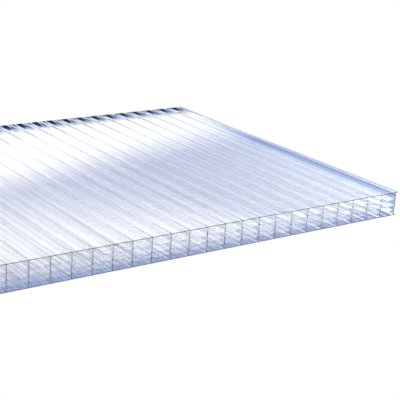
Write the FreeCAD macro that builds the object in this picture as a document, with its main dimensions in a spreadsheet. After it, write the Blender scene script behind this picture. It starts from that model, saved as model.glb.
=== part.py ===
"""Multiwall polycarbonate sheet, 25 mm thick, with five walls and four layers of chambers.

The sheet is one extrusion, so it is one body. Its cross-section lies in the XZ plane: two skins, upright ribs at an
even pitch, and three thin membranes that sag between the ribs, as they do when the plastic is still soft. Where walls
meet, the corners are rounded. Both skins stand out a little past the last rib at each side.
The flutes run along Y and both ends are sawn square. The origin is at the middle of the underside, X runs across the
flutes, and Z is up. Lengths are in millimetres.
"""

import FreeCAD, Part
import math
import os
import Sketcher

# The sizes that drive the sheet: alias, value, and what is measured.
SIZES = [
    ("rib_pitch", 20.0, "from the middle of one rib to the middle of the next"),
    ("chamber_count", 49, "chambers side by side across the sheet"),
    ("cut_length", 390.0, "along the flutes, from one sawn end to the other"),
    ("top_skin", 0.7, "thickness of the upper skin"),
    ("bottom_skin", 0.7, "thickness of the lower skin"),
    ("rib_wall", 0.65, "thickness of an upright rib"),
    ("membrane_wall", 0.15, "thickness of a thin wall between the skins"),
    ("upper_chamber", 6.5, "clear height of the first and second chamber, beside a rib"),
    ("lower_chamber", 5.075, "clear height of the third and fourth chamber, beside a rib"),
    ("membrane_sag", 1.4, "how far the middle of a membrane hangs below its ends"),
    ("junction_fillet", 0.85, "radius of the rounded corners where walls meet"),
    ("edge_flange", 2.425, "how far both skins stand out past the last rib"),
]

# Sizes that follow from those, written as expressions.
THICKNESS = (
    "(sizes.bottom_skin + 2 * sizes.lower_chamber + 2 * sizes.upper_chamber"
    " + 3 * sizes.membrane_wall + sizes.top_skin)"
)
LAST_RIB_X = "(sizes.chamber_count * sizes.rib_pitch / 2)"
EDGE_FACE_X = f"({LAST_RIB_X} + sizes.rib_wall / 2)"
FLANGE_TIP_X = f"({EDGE_FACE_X} + sizes.edge_flange)"
CHAMBER_LEFT_X = f"({LAST_RIB_X} - sizes.rib_pitch + sizes.rib_wall / 2)"
CHAMBER_RIGHT_X = f"({LAST_RIB_X} - sizes.rib_wall / 2)"
HALF_CHAMBER = "((sizes.rib_pitch - sizes.rib_wall) / 2)"
SAG_RADIUS = f"(({HALF_CHAMBER} * {HALF_CHAMBER} / sizes.membrane_sag + sizes.membrane_sag) / 2)"

# Heights at the ribs of the upper faces of the bottom skin and the three membranes, from the lowest up.
FLOOR_HEIGHTS = ["sizes.bottom_skin"]
for clear_height in ("lower_chamber", "lower_chamber", "upper_chamber"):
    FLOOR_HEIGHTS.append(f"{FLOOR_HEIGHTS[-1]} + sizes.{clear_height} + sizes.membrane_wall")

# The two ends of a piece of sketch geometry, its centre, and the sketch's own origin.
START, END, MIDDLE = 1, 2, 3
ORIGIN = (-1, 1)


def make_sizes(doc):
    """The sheet of driving sizes: names in column A, values in B and meanings in C."""
    table = doc.addObject("Spreadsheet::Sheet", "sizes")
    for row, (alias, value, meaning) in enumerate(SIZES, start=1):
        table.set(f"A{row}", alias)
        table.set(f"B{row}", str(value))
        table.set(f"C{row}", meaning)
        table.setAlias(f"B{row}", alias)
    doc.recompute()


def section_sketch(body, name):
    """A sketch on the body's XZ plane, which is square to the flutes."""
    sketch = body.newObject("Sketcher::SketchObject", name)
    plane = next(f for f in body.Origin.OriginFeatures if f.Role == "XZ_Plane")
    sketch.AttachmentSupport = [(plane, "")]
    sketch.MapMode = "FlatFace"
    return sketch


def hold(sketch, name, expression, kind, *geometry):
    """Adds a named dimension to the sketch and binds it to an expression of the sizes."""
    value = float(sketch.evalExpression(expression))
    index = sketch.addConstraint(Sketcher.Constraint(kind, *geometry, value))
    sketch.renameConstraint(index, name)
    sketch.setExpression(f"Constraints.{name}", expression)


def arc(centre, radius, start, end):
    """An arc of a circle, anticlockwise from start to end."""
    angles = [math.atan2(p.y - centre.y, p.x - centre.x) for p in (start, end)]
    circle = Part.Circle(centre, FreeCAD.Vector(0, 0, 1), radius)
    return Part.ArcOfCircle(circle, *angles)


def flat(height):
    """A level floor or ceiling."""
    return {"height": height, "radius": None}


def sagging(rib_height, below="0"):
    """A membrane's face: an arc with its centre above. below is how far the face lies under the upper one."""
    return {
        "height": f"{rib_height} - sizes.membrane_sag + {SAG_RADIUS}",
        "radius": f"({SAG_RADIUS} + {below})",
    }


def corner(x, inward, face, rounding, middle_x, upward):
    """Where a wall at x meets a floor or ceiling: the rounding's centre, its end on the wall and its end on the face."""
    if face["radius"] is None:
        touch = FreeCAD.Vector(x + inward * rounding, face["height"], 0)
        centre = touch + FreeCAD.Vector(0, upward * rounding, 0)
    else:
        sag_centre = FreeCAD.Vector(middle_x, face["height"], 0)
        reach = face["radius"] - upward * rounding
        across = x + inward * rounding - middle_x
        centre = sag_centre + FreeCAD.Vector(across, -math.sqrt(reach**2 - across**2), 0)
        touch = sag_centre + (centre - sag_centre) * (face["radius"] / reach)
    return centre, FreeCAD.Vector(x, centre.y, 0), touch


def draw_hollow(sketch, left, right, floor, ceiling, rounded=("left", "right")):
    """Draws a hollow's closed outline from the X of its walls and its floor and ceiling, and ties it to the sizes."""
    x = {"left": float(sketch.evalExpression(left)), "right": float(sketch.evalExpression(right))}
    middle = f"(({left}) + ({right})) / 2"
    middle_x = float(sketch.evalExpression(middle))
    fillet = float(sketch.evalExpression("sizes.junction_fillet"))
    faces = {"floor": floor, "ceiling": ceiling}
    inward = {"left": 1, "right": -1}
    upward = {"floor": 1, "ceiling": -1}

    # The four corners, each with its rounding, or sharp with no rounding.
    corners = {}
    for face, shape in faces.items():
        numbers = {key: expr and float(sketch.evalExpression(expr)) for key, expr in shape.items()}
        for side in x:
            rounding = fillet if side in rounded else 0.0
            corners[face, side] = corner(x[side], inward[side], numbers, rounding, middle_x, upward[face])

    # The walls run upwards, and the floor and ceiling from left to right.
    lines = {}
    for side in x:
        ends = (corners["floor", side][1], corners["ceiling", side][1])
        lines[side] = sketch.addGeometry(Part.LineSegment(*ends))
        sketch.addConstraint(Sketcher.Constraint("Vertical", lines[side]))
        hold(sketch, f"{side}_wall", {"left": left, "right": right}[side], "DistanceX", *ORIGIN, lines[side], START)
    for face, shape in faces.items():
        ends = (corners[face, "left"][2], corners[face, "right"][2])
        if shape["radius"] is None:
            lines[face] = sketch.addGeometry(Part.LineSegment(*ends))
            sketch.addConstraint(Sketcher.Constraint("Horizontal", lines[face]))
            hold(sketch, f"{face}_height", shape["height"], "DistanceY", *ORIGIN, lines[face], START)
        else:
            height = float(sketch.evalExpression(shape["height"]))
            radius = float(sketch.evalExpression(shape["radius"]))
            centre = FreeCAD.Vector(middle_x, height, 0)
            lines[face] = sketch.addGeometry(arc(centre, radius, *ends))
            hold(sketch, f"{face}_radius", shape["radius"], "Radius", lines[face])
            hold(sketch, f"{face}_middle", middle, "DistanceX", *ORIGIN, lines[face], MIDDLE)
            hold(sketch, f"{face}_height", shape["height"], "DistanceY", *ORIGIN, lines[face], MIDDLE)

    # Each corner joins a wall to the floor or ceiling.
    for (face, side), (centre, on_wall, on_face) in corners.items():
        wall_end = (lines[side], START if face == "floor" else END)
        face_end = (lines[face], START if side == "left" else END)
        if side not in rounded:
            sketch.addConstraint(Sketcher.Constraint("Coincident", *wall_end, *face_end))
            continue
        anticlockwise_from_wall = (face, side) in (("floor", "left"), ("ceiling", "right"))
        ends = (on_wall, on_face) if anticlockwise_from_wall else (on_face, on_wall)
        turn = sketch.addGeometry(arc(centre, fillet, *ends))
        hold(sketch, f"{face}_{side}_fillet", "sizes.junction_fillet", "Radius", turn)
        at_wall, at_face = (START, END) if anticlockwise_from_wall else (END, START)
        sketch.addConstraint(Sketcher.Constraint("Tangent", *wall_end, turn, at_wall))
        sketch.addConstraint(Sketcher.Constraint("Tangent", *face_end, turn, at_face))


def make_blank(body):
    """The sheet's outside as a plain slab, out to the tips of the flanges."""
    sketch = section_sketch(body, "slab_section")
    corners = [FreeCAD.Vector(x, z, 0) for x, z in ((-1, 0), (1, 0), (1, 1), (-1, 1))]
    bottom, right, top, left = (
        sketch.addGeometry(Part.LineSegment(corners[i], corners[(i + 1) % 4])) for i in range(4)
    )
    ring = [bottom, right, top, left]
    for line, following in zip(ring, ring[1:] + ring[:1]):
        sketch.addConstraint(Sketcher.Constraint("Coincident", line, END, following, START))
    for line in (bottom, top):
        sketch.addConstraint(Sketcher.Constraint("Horizontal", line))
    sketch.addConstraint(Sketcher.Constraint("Vertical", right))
    sketch.addConstraint(Sketcher.Constraint("Symmetric", bottom, START, bottom, END, *ORIGIN))
    sketch.addConstraint(Sketcher.Constraint("Vertical", left))
    hold(sketch, "thickness", THICKNESS, "DistanceY", right, START, right, END)
    hold(sketch, "width", f"2 * {FLANGE_TIP_X}", "DistanceX", bottom, START, bottom, END)
    slab = body.newObject("PartDesign::Pad", "slab")
    slab.Profile = sketch
    slab.SideType = "Symmetric"
    slab.setExpression("Length", "sizes.cut_length")


def cut_through(body, sketch, name):
    """A pocket of the sketch's outline from one sawn end to the other."""
    pocket = body.newObject("PartDesign::Pocket", name)
    pocket.Profile = sketch
    pocket.Type = "ThroughAll"
    pocket.SideType = "Symmetric"
    return pocket


def cut_edge_recesses(body):
    """Takes out the gap between the two flanges, at both sides of the sheet."""
    sketch = section_sketch(body, "edge_section")
    floor, ceiling = flat("sizes.bottom_skin"), flat(f"{THICKNESS} - sizes.top_skin")
    past_the_tip = f"({FLANGE_TIP_X} + sizes.edge_flange)"
    draw_hollow(sketch, EDGE_FACE_X, past_the_tip, floor, ceiling, rounded=("left",))
    recess = cut_through(body, sketch, "edge_recess")
    both = body.newObject("PartDesign::Mirrored", "edge_recesses")
    both.Originals = [recess]
    plane = next(f for f in body.Origin.OriginFeatures if f.Role == "YZ_Plane")
    both.MirrorPlane = (plane, [""])
    body.Tip = both


def cut_chambers(body):
    """Cuts the column of four chambers beside the last rib, and repeats it across the sheet."""
    names = ["bottom_chamber", "third_chamber", "second_chamber", "top_chamber"]
    column = []
    for layer, name in enumerate(names):
        floor = sagging(FLOOR_HEIGHTS[layer]) if layer else flat(FLOOR_HEIGHTS[layer])
        if name == "top_chamber":
            ceiling = flat(f"{THICKNESS} - sizes.top_skin")
        else:
            ceiling = sagging(FLOOR_HEIGHTS[layer + 1], below="sizes.membrane_wall")
        sketch = section_sketch(body, f"{name}_section")
        draw_hollow(sketch, CHAMBER_LEFT_X, CHAMBER_RIGHT_X, floor, ceiling)
        column.append(cut_through(body, sketch, name))
    row = body.newObject("PartDesign::LinearPattern", "chambers")
    row.Originals = column
    axis = next(f for f in body.Origin.OriginFeatures if f.Role == "X_Axis")
    row.Direction = (axis, [""])
    row.Reversed = True
    row.Mode = "Spacing"
    row.setExpression("Offset", "sizes.rib_pitch")
    row.setExpression("Occurrences", "sizes.chamber_count")
    body.Tip = row


def main():
    doc = FreeCAD.newDocument("multiwall_sheet")
    make_sizes(doc)
    body = doc.addObject("PartDesign::Body", "sheet")
    body.Label = "sheet"
    make_blank(body)
    cut_edge_recesses(body)
    cut_chambers(body)
    doc.recompute()

    for item in doc.Objects:
        if "Invalid" in item.State or "Error" in item.State:
            raise RuntimeError(f"{item.Label} did not build: {item.State}")
        if item.TypeId == "Sketcher::SketchObject" and not item.FullyConstrained:
            raise RuntimeError(f"{item.Label} is not fully constrained")
    if body.Shape.isNull() or not body.Shape.isValid() or len(body.Shape.Solids) != 1:
        raise RuntimeError("the sheet is not one valid solid")

    os.makedirs("parts", exist_ok=True)
    body.Shape.exportStep(f"parts/{body.Label}.step")
    print(f"{body.Label}: {body.Shape.Volume:.0f} mm3 in {len(body.Shape.Faces)} faces, {body.Shape.BoundBox}")


main()
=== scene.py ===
"""Clear multiwall polycarbonate sheet on a white table, seen from above its front sawn end.

The frame's sheet gives the outside size. The piece made here follows the same section, with finer arcs than the
frame's mesh has. Its membranes are a little uneven, as they are when the plastic cools after the die.
"""

import math
import random

import bmesh
import bpy
from mathutils import Matrix, Vector, noise


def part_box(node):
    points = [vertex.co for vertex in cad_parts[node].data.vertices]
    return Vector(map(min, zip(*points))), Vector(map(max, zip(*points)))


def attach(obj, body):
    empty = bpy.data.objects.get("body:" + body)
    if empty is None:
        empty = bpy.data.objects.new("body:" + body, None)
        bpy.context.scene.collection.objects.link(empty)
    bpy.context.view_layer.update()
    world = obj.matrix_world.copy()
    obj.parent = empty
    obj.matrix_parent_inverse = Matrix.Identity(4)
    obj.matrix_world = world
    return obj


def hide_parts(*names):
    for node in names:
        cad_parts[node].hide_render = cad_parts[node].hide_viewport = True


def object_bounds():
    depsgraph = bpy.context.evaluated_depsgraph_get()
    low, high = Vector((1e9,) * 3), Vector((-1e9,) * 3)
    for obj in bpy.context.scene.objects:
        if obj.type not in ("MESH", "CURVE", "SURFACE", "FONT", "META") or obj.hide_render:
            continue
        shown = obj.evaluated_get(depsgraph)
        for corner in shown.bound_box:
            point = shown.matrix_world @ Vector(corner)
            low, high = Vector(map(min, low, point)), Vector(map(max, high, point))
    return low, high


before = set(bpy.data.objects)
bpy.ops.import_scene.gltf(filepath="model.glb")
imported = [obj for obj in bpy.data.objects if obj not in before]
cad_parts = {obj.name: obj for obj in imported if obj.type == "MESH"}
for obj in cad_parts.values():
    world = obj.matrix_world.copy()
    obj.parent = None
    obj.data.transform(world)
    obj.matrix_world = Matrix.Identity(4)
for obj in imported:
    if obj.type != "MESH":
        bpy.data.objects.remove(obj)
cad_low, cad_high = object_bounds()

MM = 0.001

# The section in millimetres, as it is in the frame's solid.
RIB_PITCH = 20.0
TOP_SKIN = 0.7
BOTTOM_SKIN = 0.7
RIB_WALL = 0.65
MEMBRANE_WALL = 0.15
UPPER_CHAMBER = 6.5
LOWER_CHAMBER = 5.075
MEMBRANE_SAG = 1.4
JUNCTION_FILLET = 0.85
EDGE_FLANGE = 2.425

LOW, HIGH = (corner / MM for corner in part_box("sheet"))
THICKNESS = HIGH.z
LENGTH = HIGH.y - LOW.y
CHAMBER_COUNT = round((HIGH.x - LOW.x - RIB_WALL - 2 * EDGE_FLANGE) / RIB_PITCH)
LAST_RIB_X = CHAMBER_COUNT * RIB_PITCH / 2
HALF_CHAMBER = (RIB_PITCH - RIB_WALL) / 2

# How finely the section and the length are divided. Points nearer than the weld distance, in millimetres, are joined,
# and an edge that turns by the sharp angle or more is shown sharp. A face whose normal has more than END_NORMAL along
# the flutes is a sawn end's.
ARC_CUTS = 9
FILLET_SEGMENTS = 3
LENGTH_STEPS = 8
WELD_DISTANCE = 0.001
SHARP_ANGLE = math.radians(15)
END_NORMAL = 0.9

# How uneven the membranes are, in millimetres: each one's own sag, and its waves along the flutes. The waves are read
# off one slice of a noise, and the next membrane's lie WAVE_SHIFT away in it.
RANDOM_SEED = 7
SAG_SPREAD = 0.3
WAVE_HEIGHT = 0.08
WAVE_LENGTH = 260.0
WAVE_SHIFT = 7.3
WAVE_SLICE = 0.5

# The plastic, with sizes in millimetres. The size of the die's lines is given across the flutes, along them and up a
# wall. Each rib prints a low ridge through both skins, and the half-width is how far it reaches to each side.
POLYCARBONATE_IOR = 1.585
DEPTH_BLUE = "#89aada"
DEPTH_DENSITY = 6.0
DIE_LINE_SIZE = (2.0, 400.0, 16.67)
DIE_LINE_HEIGHT = 0.001
RIDGE_HALF_WIDTH = 2.2
RIDGE_HEIGHT = 0.02
SAWN_ROUGHNESS = 0.25
SAWN_TRANSMISSION = 0.85

# The camera, solved from the sheet's straight edges and the rib spacing.
CAMERA_AT = Vector((-321.2, -935.5, 356.5)) * MM
CAMERA_YAW = math.radians(37.10)
CAMERA_DIP = math.radians(18.16)
CAMERA_ROLL = math.radians(3.81)
CAMERA_LENS = 99.05
SENSOR_WIDTH = 36.0

# A line of sight meets up to 30 walls on its way through the sheet and back out.
MOST_BOUNCES = 48

WHITE = (1.0, 1.0, 1.0, 1.0)

# What the sheet reflects: a blue room with softboxes, most of them brighter than white. A slope is a ray's rise over
# its run along the flutes, and a side is its run across them over the same run. A pair says where a colour starts to
# show and where it covers all. A ray's run along the flutes is taken to be LEAST_RUN or more.
ROOM_BLUE = "#7189c1"
ROOM_FOOT = "#1d2d68"
ROOM_WALL = "#b4bfda"
LEAST_RUN = 0.001

# To the right, the room, the high box and the ceiling are brighter. The box at the left lights the sawn end.
RIGHT_SIDE = (0.65, 1.14)
RIGHT_BOX = (0.56, 0.66, 0.90, 1.0)
LEFT_SIDE = (0.30, -0.10)
LEFT_BOX = (1.30, 1.30, 1.25, 1.0)
LOW_BOX = (1.80, 1.80, 1.75, 1.0)
HIGH_BOX_LEFT = (1.21, 1.21, 1.20, 1.0)
HIGH_BOX_RIGHT = (2.20, 2.20, 2.20, 1.0)
CEILING_SLOPE = (0.48, 0.60)
CEILING_LEFT = (1.90, 1.90, 1.85, 1.0)
CEILING_RIGHT = (3.00, 3.00, 2.85, 1.0)

# The gap between the low box and the high one: the slopes at which the low box begins to end and has ended, and the
# high one starts and is full. Each has a value for both ends of GAP_SIDE, because the gap moves up to the right.
GAP_SIDE = (0.48, 0.88)
GAP_SLOPES = [(0.337, 0.285), (0.375, 0.347), (0.336, 0.438), (0.425, 0.480)]

# Under the low box lies the room's dark foot. Below that, straight up and far out to both sides is a pale wall.
FOOT_SLOPE = (0.3045, 0.2960)
LOW_WALL_SLOPE = (0.284, 0.268)
OVERHEAD_SLOPE = (1.5, 3.0)
WALL_SIDE = (1.6, 3.0)

# What shows through the sheet, drawn as light in the table's material, with distances in metres past the sheet's
# sides and ends. The table is pale under the sheet, and blue at its rim, where the sheet's shadow is painted. A dark
# line on it, which the side flange shows, is a painted shadow too. It is given by its distance past the side, and
# by its half-widths where it is full and where it has gone.
TABLE_WHITE = "#f2f3f7"
TABLE_PALE = "#d3d9ed"
TABLE_SIDE_SHADOW = "#97b2de"
TABLE_SHADOW_LINE = "#1c3a80"
TABLE_HALF_SIZE = 4.0
TABLE_DROP = 0.0005
END_RIM_SHADOW = (-0.050, -0.040)
SIDE_RIM_SHADOW = (-0.010, 0.010)
SIDE_SHADOW_LINE = (0.0595, 0.0032, 0.0062)

# Past the ends it has painted light that a lamp over the camera would send through the flutes, though the scene has
# no such lamp. The light rises from dim to full, and each rib has two dark stripes of painted shadow in it, which
# spread away from LAMP_X. A stripe is given by its distance right of its rib, by its half-widths where it is full and
# where it has gone, and by where past the end it sets in.
LAMP_X = CAMERA_AT.x
PAST_END = (0.000, 0.010)
LIT_BANDS = (1.25, 1.45, 1.75, 1.0)
BANDS_RISE = (0.045, 0.068)
BANDS_DIM = 0.15
STRIPE_SPREAD = 1.075
RIB_SHADOW_STRIPES = [(0.0094, 0.0030, 0.0055, (0.020, 0.060)), (0.0198, 0.0026, 0.0046, (0.068, 0.079))]


def linear(hex_colour):
    """An sRGB hex colour as linear red, green, blue and alpha."""
    parts = [int(hex_colour[i : i + 2], 16) / 255 for i in (1, 3, 5)]
    return tuple(c / 12.92 if c <= 0.04045 else ((c + 0.055) / 1.055) ** 2.4 for c in parts) + (1.0,)


def add(tree, kind, inputs=(), **settings):
    """Adds a node. inputs lists what its sockets get, in their order, or maps their names or numbers to it.

    Each gets a value, an output, or a node, which stands for its first output in use.
    """
    node = tree.nodes.new(kind)
    for name, value in settings.items():
        setattr(node, name, value)
    pairs = inputs.items() if isinstance(inputs, dict) else enumerate(inputs)
    for socket, value in pairs:
        if isinstance(value, bpy.types.Node):
            value = next(output for output in value.outputs if output.enabled)
        if isinstance(value, bpy.types.NodeSocket):
            tree.links.new(value, node.inputs[socket])
        else:
            node.inputs[socket].default_value = value
    return node


def new_tree(owner):
    """The owner's node tree, emptied."""
    owner.use_nodes = True
    owner.node_tree.nodes.clear()
    return owner.node_tree


def new_object(name, bm, *materials):
    """The bmesh as an object in the scene."""
    mesh = bpy.data.meshes.new(name)
    bm.to_mesh(mesh)
    bm.free()
    for material in materials:
        mesh.materials.append(material)
    made = bpy.data.objects.new(name, mesh)
    bpy.context.scene.collection.objects.link(made)
    return made


def add_corners(bm, left, right, low, high):
    """Adds the corners of an upright rectangle in the section."""
    return [bm.verts.new((x, 0, z)) for x, z in ((left, low), (right, low), (right, high), (left, high))]


def round_corners(bm, corners):
    """Rounds corners of a flat face with the fillet that the plastic has where walls meet."""
    return bmesh.ops.bevel(
        bm, geom=corners, offset=JUNCTION_FILLET, affect="VERTICES", segments=FILLET_SEGMENTS, profile=0.5,
        material=-1,
    )


def add_flute_rim(bm, slack, middle_x, floor, height, sags, membranes):
    """Draws a flute's rim as a ring of edges: a rounded rectangle whose floor and ceiling hang with the membranes.

    sags and membranes are the floor's and the ceiling's. A membrane is a number, and 0 is a skin, which doesn't move.
    slack is a layer that keeps, for each point, how freely its membrane moves, and which membrane it is on.
    """
    corners = add_corners(bm, middle_x - HALF_CHAMBER, middle_x + HALF_CHAMBER, floor, floor + height)
    bm.faces.new(corners)
    rounded = round_corners(bm, corners)
    face = rounded["verts"][0].link_faces[0]
    rim = list(face.edges)
    bmesh.ops.delete(bm, geom=[face], context="FACES_ONLY")
    across = [edge for edge in rim if edge.calc_length() > HALF_CHAMBER]
    cut = bmesh.ops.subdivide_edges(bm, edges=across, cuts=ARC_CUTS)
    rim = {edge for edge in (*rim, *cut["geom"]) if isinstance(edge, bmesh.types.BMEdge) and edge.is_valid}
    for point in {point for edge in rim for point in edge.verts}:
        share = (point.co.x - middle_x) / HALF_CHAMBER
        up = (point.co.z - floor) / height
        hang = max(0.0, 1.0 - share * share)
        point.co.z -= hang * (sags[0] * (1 - up) + sags[1] * up)
        membrane = membranes[0] if up < 0.5 else membranes[1]
        weight = max(0.0, 1 - 2 * min(up, 1 - up))
        point[slack] = Vector((hang * weight if membrane else 0.0, membrane, 0.0))
    return list(rim)


def add_end_rib(bm, side):
    """Fills the section of the last rib's outer half, with the two flanges that stand out past it."""
    rib_x, face_x = LAST_RIB_X, LAST_RIB_X + RIB_WALL / 2
    tip_x = face_x + EDGE_FLANGE
    outline = [
        (rib_x, 0), (tip_x, 0), (tip_x, BOTTOM_SKIN), (face_x, BOTTOM_SKIN),
        (face_x, THICKNESS - TOP_SKIN), (tip_x, THICKNESS - TOP_SKIN), (tip_x, THICKNESS), (rib_x, THICKNESS),
    ]
    points = [bm.verts.new((side * x, 0, z)) for x, z in outline]
    bm.faces.new(points)
    round_corners(bm, [points[3], points[4]])


def fill_section(bm, slack, draw):
    """Fills the whole section, chamber by chamber, from one side edge to the other."""
    heights = [LOWER_CHAMBER, LOWER_CHAMBER, UPPER_CHAMBER, UPPER_CHAMBER]
    for column in range(CHAMBER_COUNT):
        middle_x = (column - (CHAMBER_COUNT - 1) / 2) * RIB_PITCH
        sags = [0.0, *(MEMBRANE_SAG + draw.uniform(-1, 1) * SAG_SPREAD for _ in range(3)), 0.0]
        membranes = [0, *(column * 3 + number for number in (1, 2, 3)), 0]
        floor = BOTTOM_SKIN
        edges = []
        for layer, height in enumerate(heights):
            both = slice(layer, layer + 2)
            edges += add_flute_rim(bm, slack, middle_x, floor, height, sags[both], membranes[both])
            floor += height + MEMBRANE_WALL
        corners = add_corners(bm, middle_x - RIB_PITCH / 2, middle_x + RIB_PITCH / 2, 0, THICKNESS)
        edges += [bm.edges.new((corners[i], corners[(i + 1) % 4])) for i in range(4)]
        bmesh.ops.triangle_fill(bm, use_beauty=True, use_dissolve=False, edges=edges)
    for side in (-1, 1):
        add_end_rib(bm, side)
    bmesh.ops.remove_doubles(bm, verts=bm.verts, dist=WELD_DISTANCE)


def extrude_along_flutes(bm):
    """Pulls the section from the front sawn end to the back one, in steps that let the membranes wave."""
    bmesh.ops.translate(bm, verts=bm.verts, vec=(0, LOW.y, 0))
    end_faces = list(bm.faces)
    for step in range(LENGTH_STEPS):
        pulled = bmesh.ops.extrude_face_region(bm, geom=end_faces)["geom"]
        points = [item for item in pulled if isinstance(item, bmesh.types.BMVert)]
        bmesh.ops.translate(bm, verts=points, vec=(0, LENGTH / LENGTH_STEPS, 0))
        # The first section stays as the front sawn end. The later ones would be walls inside the sheet.
        if step:
            bmesh.ops.delete(bm, geom=end_faces, context="FACES")
        end_faces = [item for item in pulled if isinstance(item, bmesh.types.BMFace)]
    bmesh.ops.recalc_face_normals(bm, faces=bm.faces)


def wave_membranes(bm, slack):
    """Lets each membrane rise and fall a little along its flute."""
    for point in bm.verts:
        freedom, membrane, _ = point[slack]
        if freedom > 0:
            place = Vector((membrane * WAVE_SHIFT, point.co.y / WAVE_LENGTH, WAVE_SLICE))
            point.co.z += WAVE_HEIGHT * freedom * noise.noise(place)


def make_sheet(skin_material, sawn_material):
    """The whole sheet as one closed mesh, with the two sawn ends in a finish of their own."""
    bm = bmesh.new()
    slack = bm.verts.layers.float_vector.new("slack")
    fill_section(bm, slack, random.Random(RANDOM_SEED))
    extrude_along_flutes(bm)
    wave_membranes(bm, slack)
    bm.verts.layers.float_vector.remove(slack)
    for face in bm.faces:
        face.smooth = True
        face.material_index = 1 if abs(face.normal.y) > END_NORMAL else 0
    for edge in bm.edges:
        edge.smooth = edge.calc_face_angle(math.pi) < SHARP_ANGLE
    bmesh.ops.scale(bm, verts=bm.verts, vec=(MM, MM, MM))
    return new_object("clear_sheet", bm, skin_material, sawn_material)


def distance_to_rib(tree, across):
    """How far a point lies from the nearest rib's middle, in metres."""
    half = RIB_PITCH * MM / 2
    off = add(tree, "ShaderNodeMath", (across, LAST_RIB_X * MM), operation="SUBTRACT")
    off = add(tree, "ShaderNodeMath", (off, half, -half), operation="WRAP")
    return add(tree, "ShaderNodeMath", (off,), operation="ABSOLUTE")


def lay_over(tree, colour, layers):
    """Lays colours over the first one. A layer is a value, where it starts to show and covers all, and its colour."""
    for value, (start, full), over in layers:
        share = add(tree, "ShaderNodeMapRange", (value, start, full), interpolation_type="SMOOTHSTEP")
        colour = add(tree, "ShaderNodeMix", {0: share, 6: colour, 7: over}, data_type="RGBA")
    return colour


def polycarbonate(name, roughness, transmission, line_height, ridge_height):
    """Clear extruded polycarbonate: it has no colour on its surface, and is blue only through its depth."""
    material = bpy.data.materials.new(name)
    tree = new_tree(material)
    place = add(tree, "ShaderNodeTexCoord").outputs["Object"]
    scale = [1 / (size * MM) for size in DIE_LINE_SIZE]
    stretched = add(tree, "ShaderNodeMapping", {"Vector": place, "Scale": scale})
    lines = add(tree, "ShaderNodeTexNoise", {"Vector": stretched, "Scale": 1.0, "Detail": 2.0})
    lines = add(tree, "ShaderNodeMath", (lines, line_height * MM), operation="MULTIPLY")
    across, _, _ = add(tree, "ShaderNodeSeparateXYZ", (place,)).outputs
    reach = (distance_to_rib(tree, across), RIDGE_HALF_WIDTH * MM, 0.0, 0.0, ridge_height * MM)
    ridge = add(tree, "ShaderNodeMapRange", reach, interpolation_type="SMOOTHSTEP")
    height = add(tree, "ShaderNodeMath", (lines, ridge), operation="ADD")
    bump = add(tree, "ShaderNodeBump", {"Height": height, "Strength": 1.0, "Distance": 1.0})
    surface = {
        "Base Color": WHITE,
        "Roughness": roughness,
        "IOR": POLYCARBONATE_IOR,
        "Transmission Weight": transmission,
        "Normal": bump,
    }
    shader = add(tree, "ShaderNodeBsdfPrincipled", surface)
    depth = add(tree, "ShaderNodeVolumeAbsorption", {"Color": linear(DEPTH_BLUE), "Density": DEPTH_DENSITY})
    add(tree, "ShaderNodeOutputMaterial", {"Surface": shader, "Volume": depth})
    return material


def set_world():
    """A studio that is white to the camera, and a blue room with softboxes to the sheet."""
    world = bpy.data.worlds.new("studio")
    bpy.context.scene.world = world
    tree = new_tree(world)
    direction = add(tree, "ShaderNodeTexCoord").outputs["Generated"]
    along_x, along_y, along_z = add(tree, "ShaderNodeSeparateXYZ", (direction,)).outputs
    run = add(tree, "ShaderNodeMath", (along_y,), operation="ABSOLUTE")
    run = add(tree, "ShaderNodeMath", (run, LEAST_RUN), operation="MAXIMUM")
    slope = add(tree, "ShaderNodeMath", (along_z, run), operation="DIVIDE")
    side = add(tree, "ShaderNodeMath", (along_x, run), operation="DIVIDE")
    far_out = add(tree, "ShaderNodeMath", (side,), operation="ABSOLUTE")
    low_ends, low_gone, high_starts, high_full = (
        add(tree, "ShaderNodeMapRange", (side, *GAP_SIDE, *slopes)) for slopes in GAP_SLOPES
    )
    high_box = lay_over(tree, HIGH_BOX_LEFT, [(side, RIGHT_SIDE, HIGH_BOX_RIGHT)])
    ceiling = lay_over(tree, CEILING_LEFT, [(side, RIGHT_SIDE, CEILING_RIGHT)])
    layers = [
        (side, RIGHT_SIDE, RIGHT_BOX),
        (slope, (high_starts, high_full), high_box),
        (slope, (low_gone, low_ends), LOW_BOX),
        (slope, CEILING_SLOPE, ceiling),
        (side, LEFT_SIDE, LEFT_BOX),
        (slope, FOOT_SLOPE, linear(ROOM_FOOT)),
        (slope, LOW_WALL_SLOPE, linear(ROOM_WALL)),
        (slope, OVERHEAD_SLOPE, linear(ROOM_WALL)),
        (far_out, WALL_SIDE, linear(ROOM_WALL)),
    ]
    room = add(tree, "ShaderNodeBackground", {"Color": lay_over(tree, linear(ROOM_BLUE), layers), "Strength": 1.0})
    white = add(tree, "ShaderNodeBackground", {"Color": WHITE, "Strength": 1.0})
    rays = add(tree, "ShaderNodeLightPath").outputs
    mixed = add(tree, "ShaderNodeMixShader", (rays["Is Camera Ray"], room, white))
    add(tree, "ShaderNodeOutputWorld", {"Surface": mixed})


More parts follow.
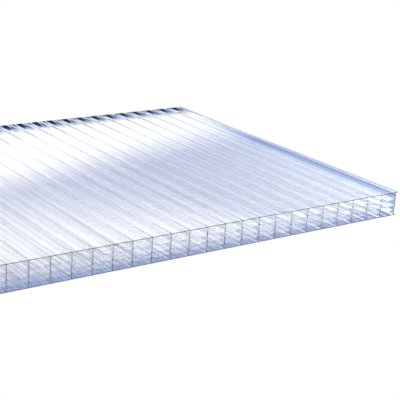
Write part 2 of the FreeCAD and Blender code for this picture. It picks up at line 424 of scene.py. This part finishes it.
def add_bands(tree, across, past_end):
    """The light drawn past the ends: LIT_BANDS, and as dark as the room's foot in each rib's stripes."""
    bright = add(
        tree, "ShaderNodeMapRange", (past_end, *BANDS_RISE, BANDS_DIM, 1.0), interpolation_type="SMOOTHSTEP"
    )
    through = add(tree, "ShaderNodeMath", (across, LAMP_X), operation="SUBTRACT")
    through = add(tree, "ShaderNodeMath", (through, STRIPE_SPREAD), operation="DIVIDE")
    through = add(tree, "ShaderNodeMath", (through, LAMP_X), operation="ADD")
    # Each rib's two stripes are its painted shadow, as dark as the room's foot.
    for past_rib, full, gone, starts in RIB_SHADOW_STRIPES:
        off = distance_to_rib(tree, add(tree, "ShaderNodeMath", (through, past_rib), operation="SUBTRACT"))
        near = add(tree, "ShaderNodeMapRange", (off, gone, full), interpolation_type="SMOOTHSTEP")
        shows = add(tree, "ShaderNodeMapRange", (past_end, *starts), interpolation_type="SMOOTHSTEP")
        dark = add(tree, "ShaderNodeMath", (near, shows), operation="MULTIPLY")
        left = add(tree, "ShaderNodeMath", (1.0, dark), operation="SUBTRACT")
        bright = add(tree, "ShaderNodeMath", (bright, left), operation="MULTIPLY")
    return add(tree, "ShaderNodeMix", {0: bright, 6: linear(ROOM_FOOT), 7: LIT_BANDS}, data_type="RGBA")


def white_table():
    """A table top in matt white lacquer, which the camera sees as pure white, like the studio behind it.

    Mirrored rays and rays through the sheet see light drawn on it instead: pale in the middle, blue at the sheet's
    rim as its painted shadow, with a painted shadow line past each side, and painted lamp light in bands past its
    ends.
    """
    material = bpy.data.materials.new("white_table")
    tree = new_tree(material)
    place = add(tree, "ShaderNodeTexCoord").outputs["Object"]
    across, along, _ = add(tree, "ShaderNodeSeparateXYZ", (place,)).outputs
    off_x, off_y = (add(tree, "ShaderNodeMath", (way,), operation="ABSOLUTE") for way in (across, along))
    past_side = add(tree, "ShaderNodeMath", (off_x, HIGH.x * MM), operation="SUBTRACT")
    past_end = add(tree, "ShaderNodeMath", (off_y, HIGH.y * MM), operation="SUBTRACT")
    line_at, full, gone = SIDE_SHADOW_LINE
    off_shadow_line = add(tree, "ShaderNodeMath", (past_side, line_at), operation="SUBTRACT")
    off_shadow_line = add(tree, "ShaderNodeMath", (off_shadow_line,), operation="ABSOLUTE")
    # The blue rim and the dark line past each side are the sheet's shadow, painted on the table.
    layers = [
        (past_end, END_RIM_SHADOW, linear(ROOM_BLUE)),
        (past_side, SIDE_RIM_SHADOW, linear(TABLE_SIDE_SHADOW)),
        (off_shadow_line, (gone, full), linear(TABLE_SHADOW_LINE)),
        (past_end, PAST_END, add_bands(tree, across, past_end)),
    ]
    through = add(tree, "ShaderNodeEmission", {"Color": lay_over(tree, linear(TABLE_PALE), layers), "Strength": 1.0})
    lit = add(tree, "ShaderNodeBsdfDiffuse", {"Color": linear(TABLE_WHITE)})
    white = add(tree, "ShaderNodeEmission", {"Color": WHITE, "Strength": 1.0})
    rays = add(tree, "ShaderNodeLightPath").outputs
    in_sheet = add(
        tree, "ShaderNodeMath", (rays["Is Glossy Ray"], rays["Is Transmission Ray"]), operation="MAXIMUM"
    )
    mixed = add(tree, "ShaderNodeMixShader", (in_sheet, lit, through))
    mixed = add(tree, "ShaderNodeMixShader", (rays["Is Camera Ray"], mixed, white))
    add(tree, "ShaderNodeOutputMaterial", {"Surface": mixed})
    return material


def make_table():
    """The table, just under the sheet, so that no face of one lies in a face of the other."""
    bm = bmesh.new()
    bmesh.ops.create_grid(bm, x_segments=1, y_segments=1, size=TABLE_HALF_SIZE)
    table = new_object("table", bm, white_table())
    table.location.z = cad_low.z - TABLE_DROP


def set_camera():
    """Puts the camera where the photograph was taken from."""
    camera = bpy.data.cameras.new("camera")
    camera.sensor_width = SENSOR_WIDTH
    camera.lens = CAMERA_LENS
    holder = bpy.data.objects.new("camera", camera)
    turn = Matrix.Rotation(-CAMERA_YAW, 4, "Z") @ Matrix.Rotation(math.pi / 2 - CAMERA_DIP, 4, "X")
    holder.matrix_world = Matrix.Translation(CAMERA_AT) @ turn @ Matrix.Rotation(CAMERA_ROLL, 4, "Z")
    bpy.context.scene.collection.objects.link(holder)
    bpy.context.scene.camera = holder


def set_render():
    """Plain colours, and light that gets all the way through the sheet."""
    scene = bpy.context.scene
    scene.view_settings.view_transform = "Standard"
    scene.cycles.max_bounces = MOST_BOUNCES
    scene.cycles.transmission_bounces = MOST_BOUNCES
    scene.cycles.glossy_bounces = MOST_BOUNCES


def main():
    set_camera()
    set_render()
    set_world()
    make_table()
    # Extruded plastic that only smooth steel has touched is as glossy as glass. It mirrors sharply, and the die's
    # faint lines and the ridges over the ribs streak along the flutes what it mirrors and what shows through.
    skin = polycarbonate(
        "extruded_polycarbonate", roughness=0.0, transmission=1.0, line_height=DIE_LINE_HEIGHT,
        ridge_height=RIDGE_HEIGHT,
    )
    # The saw scratches the cut walls finely all over, so they look frosted and paler.
    sawn = polycarbonate(
        "sawn_polycarbonate", roughness=SAWN_ROUGHNESS, transmission=SAWN_TRANSMISSION, line_height=0.0,
        ridge_height=0.0,
    )
    sheet = make_sheet(skin, sawn)
    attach(sheet, "root")
    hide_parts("sheet")


main()
